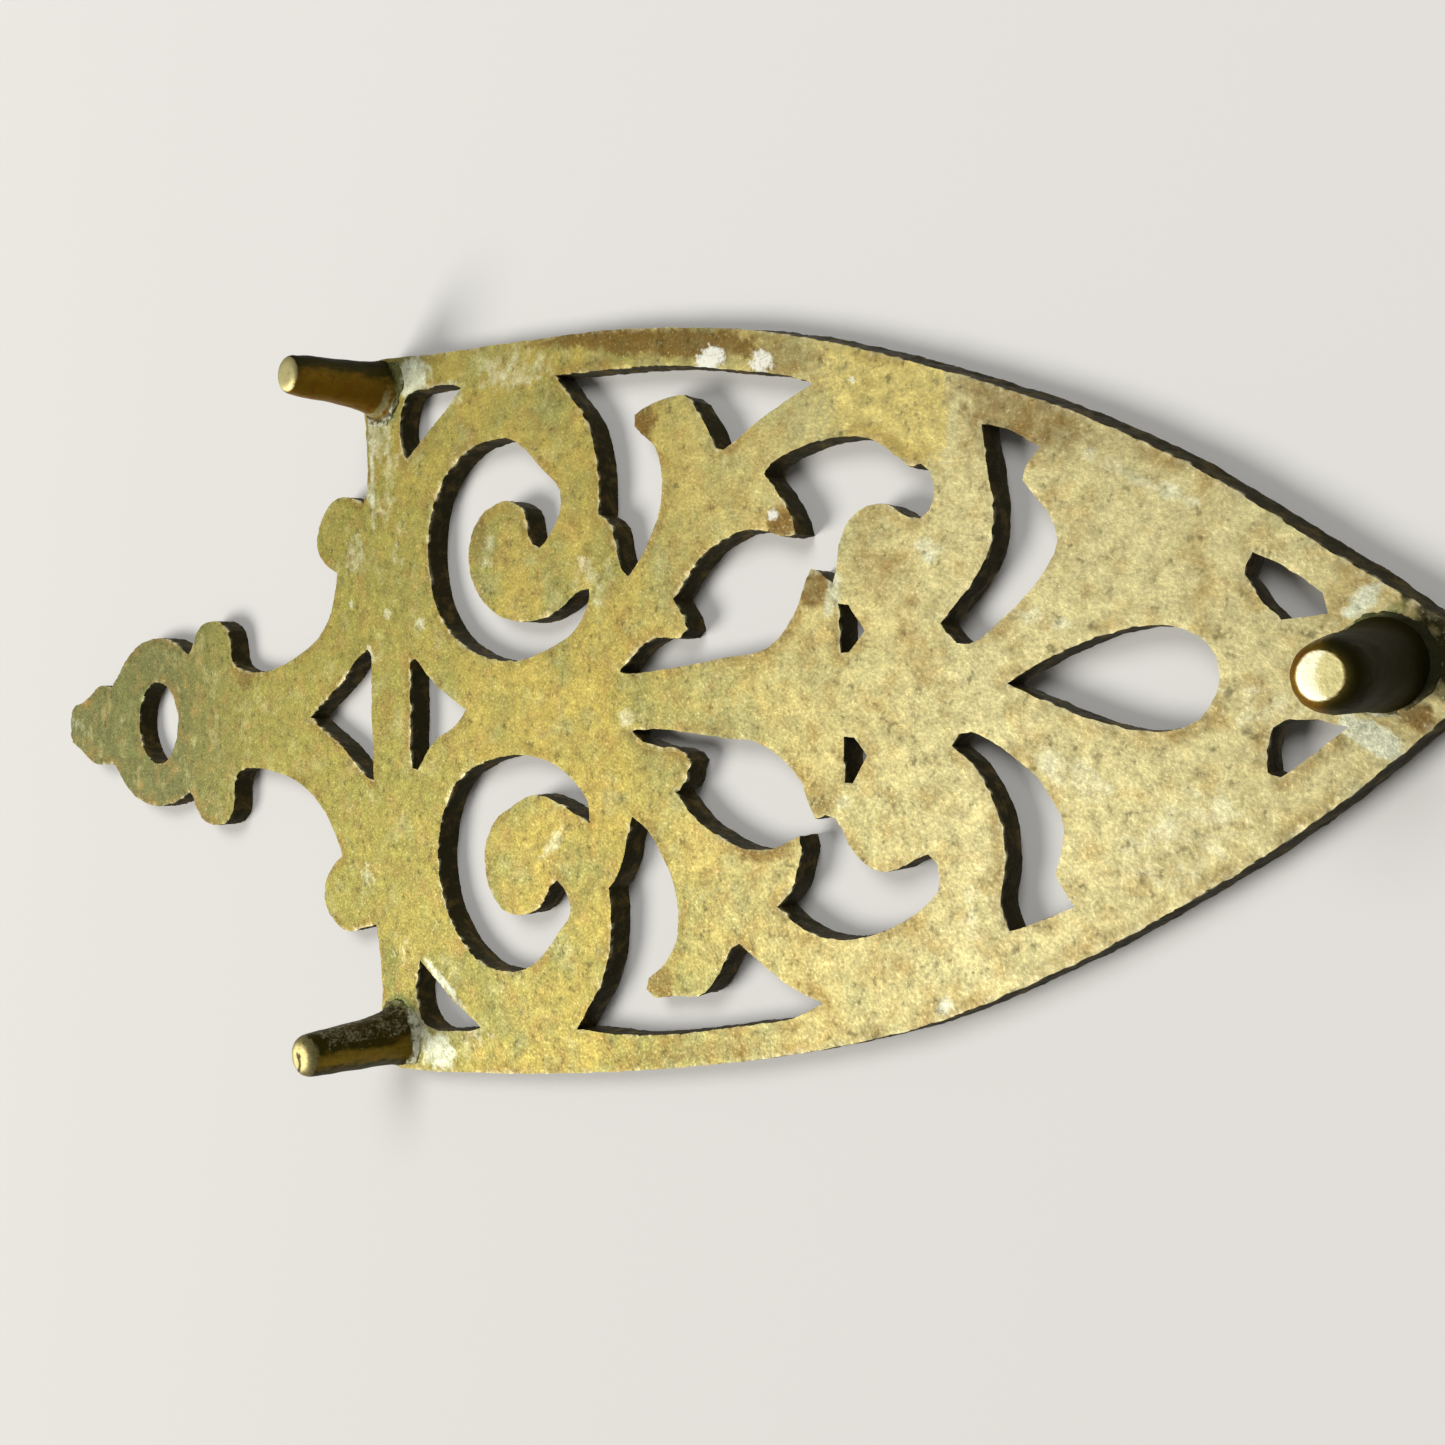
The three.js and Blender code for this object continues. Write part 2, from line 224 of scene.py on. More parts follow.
def floorMaterial(name, colour):
    # seen from its front only, and open to light from behind
    material = bpy.data.materials.new(name)
    material.use_nodes = True
    nodes, links = material.node_tree.nodes, material.node_tree.links
    nodes.clear()
    output = nodes.new("ShaderNodeOutputMaterial")
    paper = nodes.new("ShaderNodeBsdfDiffuse")
    paper.inputs["Color"].default_value = (*colour, 1)
    gone = nodes.new("ShaderNodeBsdfTransparent")
    ray = nodes.new("ShaderNodeLightPath")
    face = nodes.new("ShaderNodeNewGeometry")
    front = nodes.new("ShaderNodeMath")
    front.operation = "SUBTRACT"
    front.use_clamp = True
    mix = nodes.new("ShaderNodeMixShader")
    links.new(ray.outputs["Is Camera Ray"], front.inputs[0])
    links.new(face.outputs["Backfacing"], front.inputs[1])
    links.new(front.outputs[0], mix.inputs["Fac"])
    links.new(gone.outputs[0], mix.inputs[1])
    links.new(paper.outputs[0], mix.inputs[2])
    links.new(mix.outputs[0], output.inputs["Surface"])
    return material


def makeFloor(name, height, facesDown, material):
    turn = (math.pi, 0, 0) if facesDown else (0, 0, 0)
    bpy.ops.mesh.primitive_plane_add(size=2 * studio["floorReach"], location=(0, 0, height), rotation=turn)
    floor = bpy.context.object
    floor.name = name
    bpy.ops.object.transform_apply(location=True, rotation=True, scale=True)
    floor.data.materials.append(material)


def makeLamp(name, setup):
    lamp = bpy.data.lights.new(name, "AREA")
    lamp.shape = "DISK"
    lamp.size = setup["size"]
    lamp.energy = setup["power"]
    lamp.color = setup["colour"]
    holder = bpy.data.objects.new(name, lamp)
    bpy.context.scene.collection.objects.link(holder)
    place = Vector(setup["place"])
    holder.location = place
    holder.rotation_euler = (Vector((0, 0, showZ)) - place).to_track_quat("-Z", "Y").to_euler()
    holder.visible_camera = False
    holder.visible_glossy = not setup.get("hiddenInGloss", False)


def makeStudio():
    # a floor under the feet for views from above, and one at the show face for views from below
    pale = floorMaterial("paleFloor", studio["floorColour"])
    makeFloor("standingFloor", -0.05 * mm, False, pale)
    makeFloor("lyingFloor", showZ - studio["floorInset"], True, pale)
    # light comes from overhead, with a dim glow from below, and the backdrop shows pale
    world = bpy.data.worlds.new("paleWorld")
    world.use_nodes = True
    tree = world.node_tree
    place = tree.nodes.new("ShaderNodeTexCoord")
    axis = tree.nodes.new("ShaderNodeSeparateXYZ")
    tree.links.new(place.outputs["Object"], axis.inputs[0])
    rise = rangeNode(tree, axis.outputs["Z"], *studio["skyRise"])
    ray = tree.nodes.new("ShaderNodeLightPath")
    sky = mixColour(tree, rise, studio["skyBelow"], studio["skyAbove"])
    shown = mixColour(tree, ray.outputs["Is Camera Ray"], sky, studio["backdrop"])
    tree.links.new(shown, tree.nodes["Background"].inputs["Color"])
    bpy.context.scene.world = world
    for name, lamp in studio["lamps"].items():
        makeLamp(name, lamp)


makeStudio()
print("floors and lamps set")


# lengths in mm, the angle in degrees; a face that looks further down than underFaces has the cast skin,
# and one that looks further up than showFaces has the polish
plateForm = {
    "gridShare": 0.905,
    "underWaves": 0.16,
    "wallWobble": 0.14,
    "edgeChips": 0.17,
    "chipReach": 0.7,
    "showRound": 0.36,
    "roundReach": 0.95,
    "rightDraft": 0.8,
    "leftDraft": 0.3,
    "draftFadeIn": (30, 65),
    "draftFadeOut": (118, 127),
    "wallBand": (0.4, 3.4),
    "underFaces": -0.55,
    "showFaces": 0.55,
    "smoothAngle": 42,
}

# a brighter, rougher patch of skin on the right rim, in mm: it fades in, and it ends in an arc
patchForm = {"fadeIn": (56, 67), "end": (77.4, 78.3), "inner": (20, 25), "arcMiddle": 28, "arcBow": 0.02}

# marks on the underside: x, y, half length, half width in mm, turn in degrees, strength
plateMarks = {
    "pale": [
        (101, 15, 8, 4.5, -25, 0.38), (117.2, -5.2, 2.8, 1.1, -35, 1), (117.6, 6, 3.6, 1.3, 32, 1),
        (-10.5, 48.3, 4, 3, 5, 0.95), (-11.6, -47.8, 5, 3, -5, 0.9), (-29, -16.7, 0.8, 0.8, 0, 0.8),
        (-11.5, -12.5, 1.6, 1.2, 0, 0.6), (75, -14, 2.4, 1.4, 20, 0.6), (62.5, -10, 1.2, 2.4, 20, 0.7),
        (15, 18, 3.5, 1.8, -40, 0.5), (75.5, 32.5, 1.6, 1, -20, 0.9), (-24, -33, 1.6, 1.4, 0, 0.6),
        (-20, -14.5, 1.2, 1, 0, 0.6), (90, 8.5, 6, 2.2, 30, 0.45), (63, 12, 1.6, 1, 0, 0.5),
        (30, 2, 2, 1.2, 0, 0.4), (8, 11, 4, 1.4, 10, 0.45), (108, 3, 6, 2.5, 0, 0.3),
        (-27.5, -24, 3, 3.4, 0, 0.4), (-19, -33, 3.4, 6, 10, 0.3), (-17, -36, 5, 2.4, 0, 0.3),
        (-17, -23, 1.8, 5, 0, 0.3), (4, -21.5, 2, 3, 30, 0.35), (-4, -30, 6, 2, -30, 0.3),
        (-24.5, -9, 0.8, 2, -30, 0.7), (-10, -3, 1.6, 2.2, 50, 0.5), (98, -18, 8, 1, 30, 0.5),
        (104, 22, 10, 1, -35, 0.55), (87, -6, 5, 0.9, 15, 0.45), (-19.9, -39.7, 3.2, 3.8, 0, 0.5),
        # (-8.9, 38.4) is a painted highlight along the slanted edge of the opening near the left rear leg
        (-22.7, -36, 0.9, 9, 0, 0.7), (-8.9, 38.4, 6.2, 1.05, 35, 0.8), (-19.5, 34, 2.6, 4.5, 0, 0.26),
        (-27, 25, 2.6, 3.2, 0, 0.4), (-6, -44, 7, 2.2, 5, 0.45), (12, -46, 8, 1.4, 4, 0.3),
        (-5, 45, 8, 2, -4, 0.4), (80, 22, 3, 5, 20, 0.3), (10, -44, 9, 2.8, 8, 0.45),
        (25, -16, 6, 3.5, 20, 0.3), (-125, 0, 4, 3, 0, 0.3), (-14.5, 45.5, 2.4, 2.4, 0, 0.7),
    ],
    "brown": [
        (36, -43, 22, 2, 13, 1), (24, -46, 12, 1.3, 6, 0.8), (121.5, 4.6, 2.6, 1.2, 35, 0.9),
        (56, -18.3, 3.2, 2.2, 20, 0.95), (60, -11.3, 2.6, 2.6, 35, 0.9),
        (34, -33.5, 2.6, 4.2, 10, 0.95), (51, 17.3, 5.5, 2, -5, 0.8), (60.5, 11.5, 2.4, 2.6, -35, 0.55),
        (34, 33.6, 3, 3, 0, 0.7), (2, -23.5, 2.2, 3.6, 0, 0.6), (86, -26, 9, 4.5, 25, 0.75),
        (84, 11, 3, 4.5, 20, 0.35), (-61, -7, 3.6, 2.2, 0, 0.75), (-46, 11.5, 7, 2.4, -30, 0.4),
        (95, -22, 12, 1.4, 28, 0.45), (40, 41.8, 16, 1.5, -12, 0.5), (27, -37.5, 1.6, 6, 0, 0.3),
        (8, -41, 6, 2.2, 0, 0.25), (57, -37, 5, 2, 15, 0.6), (72, 27, 7, 2, -25, 0.3),
        (46, -5, 7, 1.2, 3, 0.5), (41, 6.5, 7, 1.4, 3, 0.45), (-29, -24, 1.2, 4, 0, 0.45),
        (-15, -10, 3, 4, 0, 0.35), (72, -38, 6, 2.2, 20, 0.5), (14, -26, 2, 6, 10, 0.25),
        (-52, 0, 6, 6, 0, 0.25), (50, -33, 6, 3, 20, 0.35), (100, -14, 8, 3, 30, 0.25),
        (97, 20, 8, 3, -30, 0.25), (66, 3, 6, 4, 0, 0.2), (69, -12, 5, 3, 10, 0.45),
        (-20.5, 0, 3, 5, 0, 0.45),
    ],
    "green": [
        (-19.5, 42.4, 3.6, 1.6, 8, 1), (-16.5, 45, 1.6, 2.6, 0, 0.6), (-16.3, -46, 1.4, 3.4, 0, 0.6),
        (-17.5, -43, 2.6, 1.2, 0, 0.7), (119.9, -4.4, 1.5, 0.7, -30, 0.9), (-104, 0, 14, 14, 0, 0.45),
        (-21.5, 37, 2.6, 5.5, 0, 0.7), (-8, -4, 7, 6, 0, 0.35), (-40, 20, 6, 8, 0, 0.25),
        (8, 2, 8, 4, 0, 0.3), (-25, -22, 3, 5, 0, 0.35), (-14, 30, 5, 6, 0, 0.25),
        (50, -14, 8, 6, 0, 0.2), (20, -12, 6, 5, 0, 0.2),
    ],
    "dark": [
        # (125.4, -2) and (123.6, -5.2) are the nose leg's shadow, painted on the plate
        (-16.8, -46.5, 1, 2.6, 15, 0.5), (-17.2, 49, 1.2, 1.6, -15, 0.6), (125.4, -2, 5.2, 5.6, 0, 1.4),
        (123.6, -5.2, 3.4, 3.6, 20, 1.3), (-42, 13.5, 6, 1.6, -35, 0.3), (30, -39.5, 10, 0.8, 8, 0.25),
        (44, -34, 2, 1.2, 0, 0.2), (70, -36, 2, 2, 0, 0.25), (-20, -19, 1.5, 3, 0, 0.2),
        (-112, 0, 2, 5, 0, 0.35),
    ],
    "paint": [
        (45.5, -38.9, 2.4, 1.6, 0, 1), (53.5, -37.2, 1.9, 1.4, 20, 1), (54.5, -20, 0.8, 0.7, 0, 1),
        (66, -33, 0.8, 0.5, 0, 0.8), (83.5, -30, 0.5, 0.4, 0, 0.8), (-16.8, -50, 1, 0.5, 0, 0.7),
    ],
}


def copyNode(name, label):
    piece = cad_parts[name].copy()
    piece.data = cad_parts[name].data.copy()
    piece.name = label
    piece.data.name = label
    piece.parent = None
    for key in list(piece.keys()):
        del piece[key]
    bpy.context.scene.collection.objects.link(piece)
    onlySelect(piece)
    bpy.ops.object.mode_set(mode="EDIT")
    bpy.ops.mesh.select_all(action="SELECT")
    bpy.ops.mesh.remove_doubles(threshold=0.002 * mm)
    bpy.ops.object.mode_set(mode="OBJECT")
    return piece


def wallDistance(points, normals):
    # how far each point is from the nearest wall in plan, and which way that wall faces
    depth = (points[:, 2] - undersideZ) / mm
    shallow, deep = plateForm["wallBand"]
    walls = np.where((np.abs(normals[:, 2]) < 0.5) & (depth > shallow) & (depth < deep))[0]
    tree = kdtree.KDTree(len(walls))
    for place, index in enumerate(walls):
        tree.insert((points[index, 0], points[index, 1], 0), place)
    tree.balance()
    found = [tree.find((x, y, 0)) for x, y in points[:, :2]]
    away = np.array([hit[2] for hit in found])
    faces = normals[walls][[hit[1] for hit in found]]
    return away, faces


def outerShare(points):
    # 1 near the outer edge of the plate, 0 from 2.2 mm inside it, found for each millimetre of its length
    share = np.zeros(len(points))
    column = np.round(points[:, 0] / mm).astype(int)
    column -= column.min()
    for side in (1, -1):
        reach = np.full(column.max() + 1, -1.0)
        mine = points[:, 1] * side > 0
        np.maximum.at(reach, column[mine], points[mine, 1] * side)
        share[mine] = smoothStep(-2.2 * mm, -0.8 * mm, (points[:, 1] * side - reach[column])[mine])
    return share


def draftNose(points):
    # toward the nose the outer edge was filed at a slant, wider at the show face
    rise = np.clip((points[:, 2] - undersideZ) / (showZ - undersideZ), 0, 1)
    x = points[:, 0] / mm
    along = smoothStep(*plateForm["draftFadeIn"], x) * (1 - smoothStep(*plateForm["draftFadeOut"], x))
    amount = np.where(points[:, 1] < 0, plateForm["rightDraft"], plateForm["leftDraft"]) * mm
    moved = points.copy()
    moved[:, 1] += np.sign(points[:, 1]) * amount * rise * along * outerShare(points)
    return moved


def markMask(points, marks, ragged):
    mask = np.zeros(len(points))
    for x, y, long, wide, turn, strength in marks:
        cos, sin = math.cos(math.radians(turn)), math.sin(math.radians(turn))
        dx, dy = points[:, 0] / mm - x, points[:, 1] / mm - y
        along, across = dx * cos + dy * sin, dy * cos - dx * sin
        away = np.hypot(along / long, across / wide) + 0.45 * ragged
        mask = np.maximum(mask, strength * (1 - smoothStep(0.55, 1.2, away)))
    return mask


def castPatch(points):
    x, y = points[:, 0] / mm, -points[:, 1] / mm
    bow = patchForm["arcBow"] * (y - patchForm["arcMiddle"]) ** 2
    along = smoothStep(*patchForm["fadeIn"], x) * (1 - smoothStep(*patchForm["end"], x + bow))
    return along * smoothStep(*patchForm["inner"], y)


def makePlate(form):
    plate = copyNode("fretted_plate", "plateCasting")
    applyModifier(plate, "REMESH", "cast", mode="SHARP", octree_depth=9, scale=form["gridShare"],
                  sharpness=1.0, use_remove_disconnected=False)
    points = draftNose(pointsOf(plate))
    movePoints(plate, points)
    away, faces = wallDistance(points, normalsOf(plate))
    depth = (points[:, 2] - undersideZ) / mm
    rise = depth / ((showZ - undersideZ) / mm)
    low, high = 1 - smoothStep(0, 0.4, rise), smoothStep(0.6, 1, rise)
    fine, coarse = noiseAt(points, 1.1 * mm, 1), noiseAt(points, 7 * mm, 2)
    patch = castPatch(points) * low

    # slow waves and sand pits below, chips along the lower edges, rubbed and rounded edges above
    waves = form["underWaves"] * mm * (0.5 * coarse + 0.22 * fine)
    rough = 0.16 * mm * noiseAt(points, 1.3 * mm, 9, 2) * patch
    chips = form["edgeChips"] * mm * smoothStep(-0.1, 0.6, fine)
    chips *= 1 - smoothStep(0, form["chipReach"] * mm, away)
    drop = form["showRound"] * mm * np.clip(1 - away / (form["roundReach"] * mm), 0, 1) ** 2
    inside = smoothStep(0.3 * mm, 1.2 * mm, away)
    shifted = points.copy()
    shifted[:, 2] += low * (waves + rough + chips) + high * (0.25 * waves * inside - drop)
    wobble = form["wallWobble"] * mm * (0.8 * fine + 0.6 * noiseAt(points, 2.6 * mm, 3))
    near = 1 - smoothStep(0.2 * mm, 1.6 * mm, away)
    shifted[:, :2] += faces[:, :2] * (wobble * near)[:, None]
    shifted[:, 2] = np.clip(shifted[:, 2], undersideZ - 0.15 * mm, showZ)
    movePoints(plate, shifted)

    # where each tint goes
    ragged = 0.6 * coarse + 0.8 * fine
    # the edge mask is partly rubbed edges and partly painted highlight, strongest where the wall faces the
    # nose
    rim = (1 - smoothStep(0.05 * mm, 0.40 * mm, away)) * (1 - smoothStep(0.15, 0.55, depth))
    toward = 0.3 + 0.7 * smoothStep(-0.3, 0.6, faces[:, 0])
    storeMask(plate, "edgeWearAndHighlightMask", rim * toward * smoothStep(-0.25, 0.5, fine + 0.5 * coarse))
    tarnish = (1 - smoothStep(0.4 * mm, 2.6 * mm, away)) * smoothStep(-0.35, 0.4, coarse + 0.3 * fine)
    storeMask(plate, "tarnishMask", tarnish * low)
    storeMask(plate, "patchMask", patch)
    storeMask(plate, "wornMask", (1 - smoothStep(0.1 * mm, 1.3 * mm, away)) * high)
    for name, marks in plateMarks.items():
        storeMask(plate, name + "Mask", markMask(points, marks, ragged) * low)

    # three finishes: skin below, walls, and polished show face
    for face in plate.data.polygons:
        below, above = face.normal.z < form["underFaces"], face.normal.z > form["showFaces"]
        face.material_index = 0 if below else 2 if above else 1
    onlySelect(plate)
    bpy.ops.object.shade_smooth_by_angle(angle=math.radians(form["smoothAngle"]))
    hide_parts("fretted_plate")
    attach(plate, "root")
    return plate


plate = makePlate(plateForm)
print("plate cast,", len(plate.data.vertices), "points")


# legs in mm: the middles of foot and root, and rings from the foot to the plate, each with its height, its
# radius and its shift along inward; footEdge is how far down a face has to look to count as filed
legForms = {
    "rear_leg_left": {
        "label": "legRearLeft", "seed": 11, "footEdge": 0.32,
        "foot": (-22.9, 47.9), "root": (-20.7, 47.5), "inward": (0.7, -0.7),
        "rings": [(0.0, 1.5, 0), (0.12, 2.15, 0), (0.55, 2.70, 0), (1.25, 3.02, 0), (3.5, 3.16, 0),
                  (7, 3.3, 0), (10, 3.5, 0.1), (12.3, 3.75, 0.3), (13.6, 4.05, 0.5),
                  (14.3, 4.35, 0.7), (14.75, 4.6, 0.9)],
    },
    "rear_leg_right": {
        "label": "legRearRight", "seed": 12, "footEdge": 0.60,
        "foot": (-21.3, -47.6), "root": (-20.6, -47.8), "inward": (0.7, 0.7),
        "rings": [(0.0, 1.6, 0), (0.12, 2.2, 0), (0.42, 2.58, 0), (1.1, 2.80, 0), (3.5, 2.95, 0),
                  (7, 3.1, 0), (10, 3.3, 0.1), (12.3, 3.6, 0.3), (13.6, 3.9, 0.5),
                  (14.3, 4.2, 0.7), (14.75, 4.5, 0.9)],
    },
    "nose_leg": {
        "label": "legNose", "seed": 13, "footEdge": 0.90,
        "foot": (119.2, 1.1), "root": (118.6, 0.3), "inward": (-0.3, -0.3),
        "rings": [(0.0, 1.7, 0), (0.05, 2.10, 0), (0.30, 2.46, 0), (0.9, 2.8, 0), (1.9, 3.0, 0),
                  (4, 3.1, 0), (8, 3.25, 0), (11, 3.4, 0), (13, 3.55, 0.3),
                  (14.1, 3.75, 0.6), (14.75, 4.1, 0.9)],
    },
}

legLength = 14.7
legSides = 64
spigotRings = [(14.75, 2.86, 0), (18.2, 2.82, 0), (18.48, 2.6, 0)]  # through the plate to its show face

# where the plate ends below, in mm: its rear edge, its rear corners, and the two edges that meet at the nose;
# the spares are how far past that a leg may go, and how far inside it a run has to stay
plateReach = {
    "rear": -24.1, "side": 51.2, "nose": 127.2, "noseSlope": 0.74,
    "rearFade": 11, "noseFade": 12, "noseStart": 100,
    "legSpare": 0.5, "runSpare": -1.1,
}


def keepOnPlate(points, spare):
    # draws in what would hang over the plate's rear corners and its nose, near the plate only
    share = smoothStep(plateReach["rearFade"] * mm, undersideZ, points[:, 2]) * (points[:, 0] < 0)
    points[:, 0] += share * np.clip((plateReach["rear"] - spare) * mm - points[:, 0], 0, None)
    excess = np.clip(np.abs(points[:, 1]) - (plateReach["side"] + 0.5 * spare) * mm, 0, None)
    points[:, 1] -= np.sign(points[:, 1]) * excess * share
    nose = smoothStep(plateReach["noseFade"] * mm, undersideZ, points[:, 2])
    nose *= points[:, 0] > plateReach["noseStart"] * mm
    halfWidth = (plateReach["nose"] - points[:, 0] / mm) * plateReach["noseSlope"] + spare
    excess = np.clip(np.abs(points[:, 1]) - halfWidth * mm, 0, None)
    points[:, 1] -= np.sign(points[:, 1]) * excess * nose


def makeLeg(node, form):
    (footX, footY), (rootX, rootY) = form["foot"], form["root"]
    lean = ((rootX - footX) / legLength, (rootY - footY) / legLength)
    first = form["rings"][0]
    bpy.ops.object.select_all(action="DESELECT")
    bpy.ops.mesh.primitive_circle_add(
        vertices=legSides, radius=first[1] * mm, fill_type="NGON", location=(footX * mm, footY * mm, 0))
    leg = bpy.context.object
    leg.name = form["label"]
    bpy.ops.object.transform_apply(location=True, rotation=True, scale=True)
    bpy.ops.object.mode_set(mode="EDIT")
    bpy.ops.mesh.select_all(action="SELECT")
    bpy.ops.mesh.inset(thickness=0.45 * first[1] * mm)
    bpy.ops.mesh.select_all(action="SELECT")
    bpy.ops.mesh.region_to_loop()
    rings = form["rings"] + spigotRings
    centre = Vector((footX, footY, 0)) * mm
    radius = first[1]
    for height, wide, inward in rings[1:]:
        place = Vector((footX + lean[0] * height + form["inward"][0] * inward,
                        footY + lean[1] * height + form["inward"][1] * inward, height)) * mm
        bpy.ops.mesh.extrude_edges_move(TRANSFORM_OT_translate={"value": place - centre})
        bpy.ops.transform.resize(value=(wide / radius, wide / radius, 1), center_override=place)
        centre, radius = place, wide
    bpy.ops.mesh.edge_face_add()
    bpy.ops.mesh.inset(thickness=0.8 * mm)
    bpy.ops.mesh.select_all(action="SELECT")
    bpy.ops.mesh.normals_make_consistent(inside=False)
    bpy.ops.object.mode_set(mode="OBJECT")
    applyModifier(leg, "SUBSURF", "draw", levels=2, render_levels=2)
    points, normals = pointsOf(leg), normalsOf(leg)
    waves, pits = noiseAt(points, 3.2 * mm, form["seed"]), noiseAt(points, 0.7 * mm, form["seed"] + 3, 2)
    side = np.clip(points[:, 2] / (1.2 * mm), 0, 1) * (points[:, 2] < 15 * mm)  # not the foot or spigot
    points += normals * ((0.11 * waves + 0.03 * pits) * mm * (0.15 + 0.85 * side))[:, None]
    points[:, 2] = np.clip(points[:, 2], 0, showZ)
    keepOnPlate(points, plateReach["legSpare"])
    movePoints(leg, points)
    legMasks(leg, node, form, waves, pits)
    onlySelect(leg)
    bpy.ops.object.shade_smooth()
    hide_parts(node)
    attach(leg, "root")
    return leg


def legMasks(leg, node, form, waves, pits):
    points, normals = pointsOf(leg), normalsOf(leg)
    height = points[:, 2] / mm
    across = points[:, 0] / mm - form["foot"][0], points[:, 1] / mm - form["foot"][1]
    footFace = smoothStep(form["footEdge"], form["footEdge"] + 0.1, -normals[:, 2])
    footFace *= 1 - smoothStep(1.0, 1.6, height)
    grey, crack, ridge, footHighlight, dull = (np.zeros(len(points)) for _ in range(5))
    if node == "rear_leg_right":
        warm = smoothStep(-0.6, 0.35, normals[:, 1] + 0.2 * waves)
        grey = 0.35 * smoothStep(11.5, 14, height + waves)
        # painted shade on the side facing -y
        dark = 0.8 * smoothStep(0.25, 0.85, -normals[:, 1])
        ridge = 1 - smoothStep(0.25, 0.75, np.abs(height - 13.5 + 0.5 * waves))
        dull += 0.45
    elif node == "rear_leg_left":
        warm = 0.85 * (1 - smoothStep(0.1, 0.6, np.abs(normals[:, 1] - 0.25) + 0.25 * waves))
        grey = 0.8 * smoothStep(-0.15, 0.55, -normals[:, 1] + 0.25 * pits)
        grey *= smoothStep(1.5, 3, height)
        # a lighter painted shade on the side facing +y
        dark = 0.3 * smoothStep(0.5, 0.95, normals[:, 1])
        crack = 1 - smoothStep(0.10, 0.32, np.abs(np.hypot(across[0] + 1.3, across[1] - 0.9) - 1.5))
        crack *= footFace * smoothStep(-0.9, -0.3, across[0])
        dull += 1
    else:
        # only the side turned to the handle is warm, the rest is painted shade, and the filed face stops short
        # of the far edge, with a painted highlight on a crescent of it toward the handle
        footFace *= 1 - smoothStep(1.78, 1.95, np.hypot(across[0] + 0.42, across[1]))
        footHighlight = footFace * smoothStep(1.3, 1.8, np.hypot(across[0] - 0.9, 0.8 * across[1]))
        side = 1 - smoothStep(-0.3, 0.35, normals[:, 0])
        warm = 0.8 * side * (1 - smoothStep(1.2, 2.6, height))
        dark = 0.9 - 0.65 * side * (1 - smoothStep(1.5, 5.0, height))
    storeMask(leg, "footMask", footFace * smoothStep(-1.6, -0.6, pits))
    storeMask(leg, "topMask", smoothStep(18.0, 18.3, height))
    storeMask(leg, "crackMask", crack)
    storeMask(leg, "footHighlightMask", footHighlight)
    storeMask(leg, "dullMask", dull)
    storeMask(leg, "ridgeMask", ridge * smoothStep(0.0, 0.5, normals[:, 1]))
    storeMask(leg, "warmMask", warm)
    storeMask(leg, "greyMask", grey)
    storeMask(leg, "darkMask", dark)


legs = [makeLeg(node, form) for node, form in legForms.items()]
print("legs turned")


# runs of solder in mm: the ring's middle and radii, how far it rises from the plate and how lumpy it is, then
# the directions in which it is green, pale and shaded
solderForms = {
    "solder_rear_left": {
        "label": "runRearLeft", "seed": 31, "at": (-20.2, 47.2),
        "inner": 3.4, "outer": 5.4, "rise": 0.5, "lumps": 0.34,
        "green": (0.1, -1.0), "pale": (1.0, 0.25), "shade": (0.0, 0.0),
    },
    "solder_rear_right": {
        "label": "runRearRight", "seed": 37, "at": (-20.0, -47.4),
        "inner": 3.2, "outer": 5.5, "rise": 0.5, "lumps": 0.34,
        "green": (1.0, 0.1), "pale": (-0.3, 1.0), "shade": (0.0, 0.0),
    },
    "solder_nose": {
        "label": "runNose", "seed": 43, "at": (118.8, 0.1),
        "inner": 2.9, "outer": 4.35, "rise": 0.22, "lumps": 0.16,
        "green": (0.2, -1.0), "pale": (-0.8, 0.8), "shade": (1.0, -0.5),
    },
}


ringSteps = 120
tubeSteps = 28


